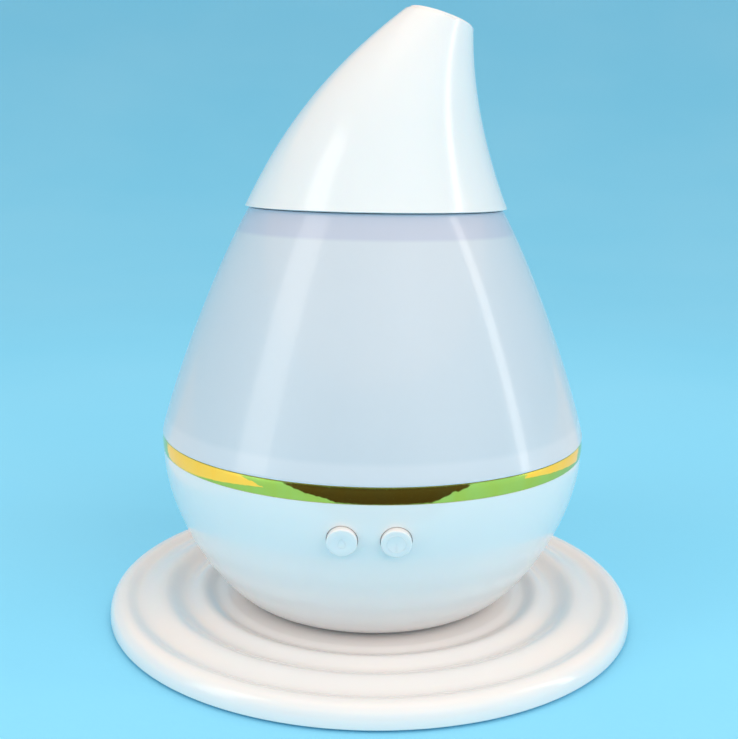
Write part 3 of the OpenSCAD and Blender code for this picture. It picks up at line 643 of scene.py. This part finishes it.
# %% [markdown]
# ## The rippled plate
# The foot plate looks like still water that a drop has just touched. It is one lathe.
# The ripples are a cosine from crest to trough and back, so the slope is never broken
# and the reflections slide over it without a crease. Underneath it is a thin shell, with
# sockets for four rubber feet, bosses for the screws that hold the body, and slots where
# the fan draws its air.

# %% Wave plate
seat_z = shell_low.z
seat_r = 47.0
ripple_depth = 2.1
ripple_span = plate_high.x - seat_r
ripples = [(0, 0), (0.092, -0.24), (0.224, 0.48), (0.368, -0.38), (0.553, 0.86),
           (0.758, 0.10), (0.876, 0.71)]
plate_wall = 2.2


def ripple_line(steps=16):
    """The outline of the ripples."""
    line = [Vector((seat_r + s * ripple_span, seat_z + h * ripple_depth)) for s, h in ripples]
    smooth = []
    for start, end in zip(line, line[1:]):
        for k in range(steps):
            t = k / steps
            rise = (1 - math.cos(math.pi * t)) / 2
            smooth.append(Vector((start.x + t * (end.x - start.x),
                                  start.y + rise * (end.y - start.y))))
    crest, drop = line[-1], line[-1].y - plate_low.z
    edge = plate_high.x
    return smooth + cubic([crest, (edge - 0.3 * (edge - crest.x), crest.y),
                           (edge, crest.y - 0.4 * drop), (edge, plate_low.z + 0.8)], 24)


def wave_plate():
    """The plate with its ripples."""
    top = ripple_line()
    inner = plate_high.x - 1.2 * plate_wall
    under = [p for p in inset(top[::-1], plate_wall) if seat_r < p.x < inner - 0.3]
    outline = [(0, seat_z), *top, (plate_high.x, plate_low.z, 0.4), (inner, plate_low.z, 0.3),
               (inner, under[0].y), *under, (0, seat_z - plate_wall)]
    return lathe("foot_plate", rounded(outline), turns=256, closed=False)


plate = wave_plate()

# %% Underside of the plate
post_ring_r, pad_ring_r = 34.4, 62.0
posts = ring_of(post_ring_r, (30, 150, 210, 330))
pads = ring_of(pad_ring_r, (45, 135, 225, 315))
pad_r, head_r, screw_r, clear_r = 6.0, 2.8, 1.6, 1.65
fan_low, fan_high = span("chimney")
fan_y = (fan_low.y + fan_high.y) / 2
intake_r = 10.1
boolean(plate, pegs(rod(head_r + 2, plate_low.z + 0.4, seat_z - 0.5, 0.3), posts)
        + pegs(rod(pad_r + 1.2, plate_low.z, seat_z - 1.4, 0.3), pads), "UNION")
screw_seat = rounded([(0, -1), (head_r + 0.3, -1), (head_r + 0.3, seat_z - 2),
                      (screw_r, seat_z - 2), (screw_r, seat_z + 1), (0, seat_z + 1)])
slots, slot_half = [], 1.2
for i in range(-2, 3):
    middle = i * intake_r / 2.5
    half = math.sqrt((intake_r - 0.2) ** 2 - middle ** 2)
    slots.append(slab(middle - slot_half, middle + slot_half, fan_y - half, fan_y + half,
                      -1, seat_z + 1))
boolean(plate, pegs(screw_seat, posts) + pegs(rod(pad_r + 0.1, -1, plate_low.z + 1), pads) + slots,
        "DIFFERENCE")
adopt(plate, "base", "white_gloss", "wave_plate")

# %% Rubber feet
pad_line = [(0, 0.25), (pad_r - 2, 0.25), (pad_r - 1.6, 0, 0.2), (pad_r, 0, 0.5),
            (pad_r, plate_low.z + 1), (0, plate_low.z + 1)]
feet = join("rubber_pads", pegs(rounded(pad_line), pads))
adopt(feet, "base", "rubber_grey", "rubber_feet")

# %% [markdown]
# ## The bowl
# The lower shell is a lathe as well, with holes for the keys, a recess for the power
# inlet at the back and bosses inside for the screws. A Boolean leaves long thin faces
# that would dent the reflections, so afterwards the shading normals of the outer skin
# are set from the curve itself: it shades as the perfect curve, right up to the holes.

# %% Bowl wall
foot_r, foot_gap, floor_t = 39.4, 0.9, 2.4
shell_z = seat_z + foot_gap
shell_h = shell_high.z - shell_z
rim_r = shell_high.x
shell_wall = 2.4
floor_top = shell_z + floor_t
step_r = foot_r - 2
shell_line = cubic([(foot_r, shell_z),
                    (foot_r + 0.301 * (rim_r - foot_r), shell_z + 0.008 * shell_h),
                    (rim_r, shell_high.z - 0.454 * shell_h), (rim_r, shell_high.z)], 96)


def radius_at(line, height):
    """The radius of a line of (radius, height) points, and its slope there."""
    for a, b in zip(line, line[1:]):
        if a.y <= height <= b.y:
            share = (height - a.y) / (b.y - a.y)
            return a.x + share * (b.x - a.x), (b - a).normalized()
    return line[-1].x, (line[-1] - line[-2]).normalized()


def bowl_wall(inside=True):
    """The bowl as an open shell or, for trimming, as the full solid just inside its skin."""
    if not inside:
        skin = [p for p in inset(shell_line, 0.4) if p.y > shell_z + 0.5]
        outline = [(0, shell_z + 0.5), *skin, (0, skin[-1].y)]
        return lathe("trim", outline, turns=256, closed=False)
    inner = [p for p in inset(shell_line, shell_wall)
             if floor_top + 0.3 < p.y < shell_high.z - 0.5]
    outline = [(0, seat_z), (step_r, seat_z, 0.2), (step_r, shell_z),
               (foot_r - 0.4, shell_z + 0.02), *shell_line[1:-1],
               (rim_r, shell_high.z, 0.2), (rim_r - shell_wall, shell_high.z, 0.2),
               *inner[::-1], (inner[0].x - 0.5, floor_top), (0, floor_top)]
    return lathe("bowl", rounded(outline), turns=256, closed=False)


bowl = bowl_wall()

# %% Places of what the bowl holds
inlet_low, inlet_high = span("power_inlet")
inlet_z = (inlet_low.z + inlet_high.z) / 2
inlet_face = inlet_high.y - 1.5
pocket_r, inlet_bore, beyond = 6.5, 4.05, 80
button_low, button_high = span("mist_button")
button_z = (button_low.z + button_high.z) / 2
button_x = {side: (span(node)[0].x + span(node)[1].x) / 2
            for side, node in ((-1, "mist_button"), (1, "light_button"))}
board_y = span("key_board")[0].y


def corners(half_x, half_y, middle_y):
    """The four corners of a rectangle that is centred on x = 0."""
    return [(x * half_x, middle_y + y * half_y) for x in (-1, 1) for y in (-1, 1)]


key_posts = [side * (button_x[1] + 11.4) for side in (-1, 1)]
board_posts = corners(21.5, 13, -17)
fan_posts = corners(9.5, 9.5, fan_y)
print("screws of the boards and the fan:", len(key_posts + board_posts + fan_posts))

# %% Bosses in the bowl
bosses = bowl_wall(inside=False)
rods = along_y(pegs(rod(pocket_r + 1.8, inlet_face - 2.2, beyond), [(0, 0)]),
               0, 0, inlet_z, side=1)
for x in key_posts:
    rods += along_y(pegs(rod(2.8, 0, 40), [(0, 0)]), x, board_y, button_z)
rods += pegs(rod(2.5, floor_top - 0.8, floor_top + 4), board_posts)
rods += pegs(rod(2.2, floor_top - 0.8, floor_top + 2), fan_posts)
boolean(bosses, rods, "INTERSECT")
boolean(bowl, [mesh_of(bosses)], "UNION")

# %% Holes in the bowl
button_r, button_gap = 4.2, 0.16
hole_r = button_r + button_gap
small_screw_r = 1.0
inlet_hole = rounded([(0, 20), (inlet_bore, 20), (inlet_bore, inlet_face),
                      (pocket_r, inlet_face), (pocket_r, beyond), (0, beyond)])
holes = along_y(pegs(inlet_hole, [(0, 0)], 96), 0, 0, inlet_z, side=1)
for side in (-1, 1):
    holes += along_y(pegs(rod(hole_r, 50, beyond), [(0, 0)], 96), button_x[side], 0, button_z)
for x in key_posts:
    holes += along_y(pegs(rod(small_screw_r, -1, 6), [(0, 0)], 24), x, board_y, button_z)
holes += pegs(rod(clear_r, 0, floor_top + 1), posts, 32)
holes += pegs(rod(small_screw_r, floor_top, floor_top + 9), board_posts + fan_posts, 24)
holes += pegs(rod(intake_r, 0, floor_top + 1), [(0, fan_y)])
boolean(bowl, holes, "DIFFERENCE")


def true_normals(piece, line, tolerance=0.02):
    """Shades the skin that follows the turned line with the line's own normals."""
    mesh = piece.data
    normals = [Vector(n.vector) for n in mesh.corner_normals]
    for face in mesh.polygons:
        for corner in face.loop_indices:
            p = mesh.vertices[mesh.loops[corner].vertex_index].co / MM
            radius, along = radius_at(line, p.z)
            out = Vector((p.x, p.y, 0)).normalized()
            ideal = Vector((out.x * along.y, out.y * along.y, -along.x))
            on_skin = abs(math.hypot(p.x, p.y) - radius) < tolerance
            if on_skin and ideal.dot(face.normal) > 0.9:
                normals[corner] = ideal
    mesh.normals_split_custom_set(normals)


true_normals(bowl, shell_line)
adopt(bowl, "base", "white_gloss", "base_shell")
print("holes at x =", [round(v, 2) for v in button_x.values()])

# %% [markdown]
# ## Ring, cover and nozzle
# The gold ring is a thin band with a crown. The cover is a cone whose wall is 2 mm
# thick, open below and with a thicker neck on top. The nozzle isn't round about one
# axis: it is a loft, a stack of rings that lean more and more until the last one faces
# up and to the side.

# %% Gold ring
ring_in = ring_high.x - 1.95
ring_mid = (ring_low.z + ring_high.z) / 2
ring_half = (ring_high.z - ring_low.z) / 2 - 0.12
ring_crown = 0.2
crown = [(ring_high.x - ring_crown * u * u, ring_mid + u * ring_half)
         for u in (k / 12 for k in range(-12, 13))]
ring_line = [(ring_in, ring_low.z), (ring_high.x - 0.35, ring_low.z), *crown,
             (ring_high.x - 0.35, ring_high.z), (ring_in, ring_high.z)]
gold_ring = lathe("ring", rounded(ring_line), turns=256)
adopt(gold_ring, "base", "gold", "gold_ring")

# %% Cover
cover_r, top_r, cover_wall = cover_high.x, 39.5, 2.2
cover_h = cover_high.z - cover_low.z
cover_line = cubic([(cover_r, cover_low.z),
                    (cover_r - 0.12 * (cover_r - top_r), cover_low.z + 0.204 * cover_h),
                    (top_r + 0.415 * (cover_r - top_r), cover_high.z - 0.288 * cover_h),
                    (top_r, cover_high.z)], 120)
neck_r, neck_h = top_r - 1.8, 4.0


def frosted_cover():
    """The cover, turned from one outline."""
    throat = cover_high.z - neck_h
    inner = [p for p in inset(cover_line, cover_wall)
             if cover_low.z + 0.8 < p.y < throat - 2.5]
    foot = inner[0].x + 0.2
    edge = cover_low.z - 0.2
    outline = [(foot, edge, 0.3), (cover_r - 0.05, edge, 0.3), *cover_line[1:-1],
               (top_r, cover_high.z, 0.3), (neck_r, cover_high.z, 0.3), (neck_r, throat, 0.5),
               *inner[::-1]]
    return lathe("frosted_cover", rounded(outline), turns=256)


shade = frosted_cover()
adopt(shade, "cover", "frosted", "cover")

# %% Nozzle
tip_r, tip_tilt, tip_reach = 10.25, math.radians(17.3), 18.8
nozzle_r, nozzle_wall = nozzle_high.x, 1.9
tip_z = 57.2
loft_steps = 90
back_angle = math.radians(36.4)
back_pull = Vector((math.cos(back_angle), math.sin(back_angle)))
tip = Vector((tip_reach, tip_z))
tip_axis = Vector((math.cos(tip_tilt), -math.sin(tip_tilt)))
tip_left, tip_right = tip - tip_r * tip_axis, tip + tip_r * tip_axis
back_curve = cubic([(-nozzle_r, 0), (-nozzle_r + 0.103 * tip_z, 0.198 * tip_z),
                    tip_left - 0.717 * tip_z * back_pull, tip_left], loft_steps)
front_curve = cubic([(nozzle_r, 0), (nozzle_r - 0.086 * tip_z, 0.201 * tip_z),
                     tip_right - Vector((0, 0.378 * tip_z)), tip_right], loft_steps)


def leaning_ring(i, narrower=0.0, lower=0.0):
    """Ring i of the nozzle as (left, right, half depth), drawn in and lowered by millimetres."""
    a, b = back_curve[i], front_curve[i]
    across = (b - a).normalized()
    down = Vector((across.y, -across.x)) * lower
    depth = (b - a).length / 2 * (1 + 0.12 * (i / loft_steps) ** 2)
    return a + narrower * across + down, b - narrower * across + down, depth - narrower


def loft(name, rings, turns=192):
    """A closed skin over a stack of elliptical rings."""
    points = []
    for a, b, depth in rings:
        centre, half = (a + b) / 2, (b - a) / 2
        for k in range(turns):
            t = 2 * math.pi * k / turns
            points.append(Vector((centre.x + half.x * math.cos(t), depth * math.sin(t),
                                  nozzle_low.z + centre.y + half.y * math.cos(t))) * MM)
    count = len(rings)
    faces = [(i * turns + k, (i + 1) % count * turns + k,
              (i + 1) % count * turns + (k + 1) % turns, i * turns + (k + 1) % turns)
             for i in range(count) for k in range(turns)]
    return mesh_object(name, points, [face[::-1] for face in faces])


def level_ring(radius, z):
    """A level ring of the nozzle."""
    return Vector((-radius, z)), Vector((radius, z)), radius


def nozzle():
    """The nozzle, lofted from its foot to its tip and back inside."""
    half_wall = nozzle_wall / 2
    rings = [level_ring(nozzle_r - nozzle_wall, 0.05), level_ring(nozzle_r - 0.5, 0),
             level_ring(nozzle_r - 0.22, 0.06), level_ring(nozzle_r - 0.08, 0.22)]
    rings += [leaning_ring(i) for i in range(1, loft_steps)]
    for k in range(1, 12):
        turn = math.pi * k / 12
        rings.append(leaning_ring(loft_steps, half_wall - half_wall * math.cos(turn),
                                  0.95 - half_wall * math.sin(turn)))
    rings += [leaning_ring(i, nozzle_wall) for i in range(loft_steps - 2, 4, -2)]
    rings += [level_ring(nozzle_r - nozzle_wall - 1.7, 1.6),
              level_ring(nozzle_r - nozzle_wall, 1.5)]
    return loft("nozzle", rings)


spout = nozzle()
crease(spout, 50)
adopt(spout, "nozzle", "white_gloss", "nozzle_shell")

# %% [markdown]
# ## Buttons
# Each button is a domed cap with a rounded edge. A faint raised sign shows what it does:
# a drop for the mist, and a circle with a line for the light. The signs are thin round
# beads laid on the cap, which is how a sign engraved in a mould comes out. The face of
# each cap leans with the wall of the bowl, so the points are moved along the key's axis
# in proportion to their height.

# %% Caps
def bead(points, radius=0.11, sides=8, loop=True):
    """A round bead in millimetres along points, as lists of points and faces."""
    count, made, faces = len(points), [], []
    for i, p in enumerate(points):
        ahead = points[(i + 1) % count] if loop else points[min(i + 1, count - 1)]
        behind = points[i - 1] if loop else points[max(i - 1, 0)]
        along = (ahead - behind).normalized()
        side = along.cross(Vector((0, 0, 1))).normalized()
        for k in range(sides):
            a = 2 * math.pi * k / sides
            made.append(p + radius * (math.cos(a) * side + 0.8 * math.sin(a) * Vector((0, 0, 1))))
    for i in range(count if loop else count - 1):
        j = (i + 1) % count
        for k in range(sides):
            m = (k + 1) % sides
            faces.append((i * sides + k, i * sides + m, j * sides + m, j * sides + k))
    if not loop:
        faces.append(tuple(range(sides)))
        faces.append(tuple(reversed(range((count - 1) * sides, count * sides))))
    return made, faces


button_depth = button_high.y - button_low.y
dish_r, dish = 2.9, 0.28
collar_top = 2.2


def dome_height(r):
    """Height of the cap's face: a shallow dish inside a rounded rim."""
    t = min(1, r / dish_r)
    return button_depth - dish * (1 - t * t * (3 - 2 * t))


def circle(radius, count=48):
    """Points on a circle."""
    return [Vector((radius * math.cos(t), radius * math.sin(t), 0))
            for t in (2 * math.pi * k / count for k in range(count))]


def on_dome(points):
    """Lays a sign on the crown of a cap."""
    return [Vector((p.x, p.y, dome_height(math.hypot(p.x, p.y)))) for p in points]


def drop_sign():
    turns = [2 * math.pi * k / 48 for k in range(48)]
    drop = [Vector((1.45 * math.sin(t) * math.sin(t / 2) ** 1.3, 1.5 * math.cos(t), 0))
            for t in turns]
    return [bead(on_dome(drop))]


def lamp_sign():
    line = [Vector((0, 0.1 - 0.3 * k, 0)) for k in range(9)]
    return [bead(on_dome(circle(2.55))), bead(on_dome(line), loop=False)]


def cap(name, sign, x):
    """One button cap."""
    face = [(r, dome_height(r)) for r in (0, 0.6, 1.2, 1.8, 2.4, dish_r)]
    stem_r, collar_low = 1.6, 1.2
    outline = rounded([(0, 0), (stem_r, 0), (stem_r, collar_low), (button_r + 0.7, collar_low, 0.2),
                       (button_r + 0.7, collar_top, 0.2), (button_r, collar_top),
                       (button_r, button_depth - 0.1, 0.75), *face[::-1]], 8)
    parts = pegs(outline, [(0, 0)], 96) + sign
    _, wall = radius_at(shell_line, button_z)
    lean = wall.x / wall.y
    for points, _ in parts:
        for p in points:
            share = max(0, (p[2] - collar_top) / (button_depth - collar_top))
            p[2] += share * lean * p[1]
    return join(name, along_y(parts, x, button_high.y, button_z))


mist_cap = cap("mist_key_cap", drop_sign(), button_x[-1])
adopt(mist_cap, "mist_key", "white_gloss", "mist_button")
lamp_cap = cap("light_key_cap", lamp_sign(), button_x[1])
adopt(lamp_cap, "light_key", "white_gloss", "light_button")

# %% [markdown]
# ## The water basin and its chimney
# Under the cover is a milky basin with a well in the middle, where the vibrating disc
# makes the mist. Air comes up through a chimney that stands higher than the water, and
# a small hood keeps splashes out of it. All are lathes. The chimney stands off the axis,
# so its hole in the basin is a Boolean.

# %% Basin
basin_r, basin_wall, basin_depth, lip_h = 49.0, 2.0, 22.2, 5.6
well_r, well_depth, disc_hole_r = 12.0, 5.0, 8.5
flange_top = basin_high.z - lip_h
basin_floor = flange_top - basin_depth
basin_under = basin_floor - basin_wall
gasket_top = span("rim_gasket")[1].z
flange_r = basin_high.x
lip_r = radius_at(inset(cover_line, cover_wall), basin_high.z)[0] - 0.3


def milky_basin():
    """The basin, turned from one outline."""
    skin = cubic([(basin_r - 6, basin_under), (basin_r - 1, basin_under),
                  (basin_r + basin_wall, basin_floor + 1), (basin_r + basin_wall, basin_floor + 8)], 24)
    water_skin = cubic([(basin_r - 7, basin_floor), (basin_r - 2, basin_floor),
                        (basin_r, basin_floor + 3), (basin_r, basin_floor + 9)], 24)
    well_under = basin_floor - well_depth - basin_wall
    outline = [(disc_hole_r, well_under), (well_r + 1.6, well_under, 0.4),
               (well_r + 1.6, basin_under, 0.5), *skin,
               (basin_r + basin_wall + 0.4, flange_top - 9.7, 4), (lip_r - 0.4, gasket_top, 0.6),
               (flange_r, gasket_top, 0.2), (flange_r, flange_top, 0.2), (lip_r, flange_top, 0.3),
               (lip_r, basin_high.z, 0.6), (lip_r - basin_wall + 0.2, basin_high.z, 0.6),
               (lip_r - basin_wall + 0.2, flange_top - 1, 3), (basin_r + 0.2, flange_top - 8.2, 4),
               *water_skin[::-1], (well_r, basin_floor, 0.8), (well_r, basin_floor - well_depth, 0.6),
               (disc_hole_r, basin_floor - well_depth, 0.3)]
    return lathe("water_basin", rounded(outline), turns=192)


basin = milky_basin()
print("basin points:", len(basin.data.vertices))

# %% Posts and holes of the basin
chimney_r, collar_out = 9.0, 2.5
holder_top = span("disc_holder")[1].z
lamp_low, lamp_high = span("led_board")
lamp_posts = [(x, (lamp_low.y + lamp_high.y) / 2) for x in (-11.5, 11.5)]
stubs = pegs(rod(3.3, floor_top, basin_under + 0.5), posts)
stubs += pegs(rod(2.4, holder_top, basin_floor - 0.5), ring_of(well_r + 3.5, (-90, 30, 150)))
stubs += pegs(rod(1.9, lamp_high.z, basin_under + 0.5), lamp_posts)
boolean(basin, stubs, "UNION")
boolean(basin, pegs(rod(chimney_r + 0.05, basin_under - 1, basin_floor + 1), [(0, fan_y)], 96)
        + pegs(rod(1.5, floor_top - 1, floor_top + 10.5), posts, 32), "DIFFERENCE")
adopt(basin, "base", "clear_bowl", "basin")

# %% Chimney
chimney_low, chimney_high = span("chimney")
bore = chimney_r - 1.2
washer_top = basin_floor + 0.8
pipe = lathe("air_chimney", rounded([
    (bore, chimney_low.z, 0.3), (chimney_r, chimney_low.z, 0.3), (chimney_r, washer_top),
    (chimney_r + collar_out, washer_top, 0.2), (chimney_r + collar_out, washer_top + 1.4, 0.4),
    (chimney_r, washer_top + 1.4, 0.5), (chimney_r, chimney_high.z, 0.3), (bore, chimney_high.z, 0.3)]),
    96, (0, fan_y))
adopt(pipe, "base", "white_matt", "chimney")

# %% Splash hood
base_z = chimney_high.z
plug_r = bore - 0.1
plug_in = plug_r - 1.2
roof = cubic([(chimney_r + 2, base_z + 5), (chimney_r, base_z + 6.4), (4, base_z + 7.5),
              (0, base_z + 7.5)], 24)
plug_line = [(plug_in, base_z - 6, 0.2), (plug_r, base_z - 6, 0.4), (plug_r, base_z),
             (chimney_r + 0.2, base_z, 0.2), (chimney_r + 0.2, base_z + 1, 0.3),
             (plug_in, base_z + 1, 0.3)]
roof_line = [(0, base_z + 5), (chimney_r, base_z + 5, 0.3), (chimney_r + 2, base_z + 4, 0.3), *roof]
hood_parts = [mesh_of(lathe("peg", rounded(plug_line), 96))]
hood_parts += pegs(rounded(roof_line), [(0, 0)], 96)
for a in (30, 150, 270):
    c, t = math.cos(math.radians(a)), math.sin(math.radians(a))
    points, faces = slab(plug_r - 1, plug_r + 0.8, -1.5, 1.5, base_z + 0.5, base_z + 5.4)
    hood_parts.append(([(x * c - y * t, x * t + y * c, z) for x, y, z in points], faces))
moved = [([(x, y + fan_y, z) for x, y, z in points], faces) for points, faces in hood_parts]
adopt(join("splash_hood", moved), "base", "white_matt", "duct_hood")

# %% [markdown]
# ## The power inlet
# At the back is a round socket with a pin in the middle. It is a lathe along Y: a thin
# flange with rounded edges, and a tube that passes through the wall of the bowl.

# %% Inlet socket and pin
inlet_r, contact_r, contact_l = 3.15, 1.05, 8.5
mouth = inlet_high.y
back = mouth - contact_l - 3
tip_y = mouth - 1
root_r, root_y = contact_r + 0.4, back + 0.6
socket_line = [(0, back), (inlet_r + 0.85, back, 0.3), (inlet_r + 0.85, inlet_face),
               (pocket_r - 0.3, inlet_face, 0.2), (pocket_r - 0.3, mouth, 0.45), (inlet_r, mouth, 0.4),
               (inlet_r, tip_y - contact_l, 0.2), (root_r, tip_y - contact_l), (root_r, root_y),
               (0, root_y)]
parts = along_y(pegs(rounded(socket_line), [(0, 0)], 96), 0, 0, inlet_z, side=1)
for x in (-1.8, 1.8):
    parts.append(slab(x - 0.6, x + 0.6, inlet_low.y, back + 0.2, inlet_z - 0.3, inlet_z + 0.3))
adopt(join("inlet_socket", parts), "base", "black_plastic", "power_inlet")
pin_line = [(0, root_y), (root_r, root_y), (root_r, tip_y - contact_l, 0.2),
            (contact_r, tip_y - contact_l), (contact_r, tip_y, 0.7), (0, tip_y)]
pin = pegs(rounded(pin_line, 8), [(0, 0)])
adopt(join("inlet_pin", along_y(pin, 0, 0, inlet_z, side=1)), "base", "nickel", "inlet_contact")
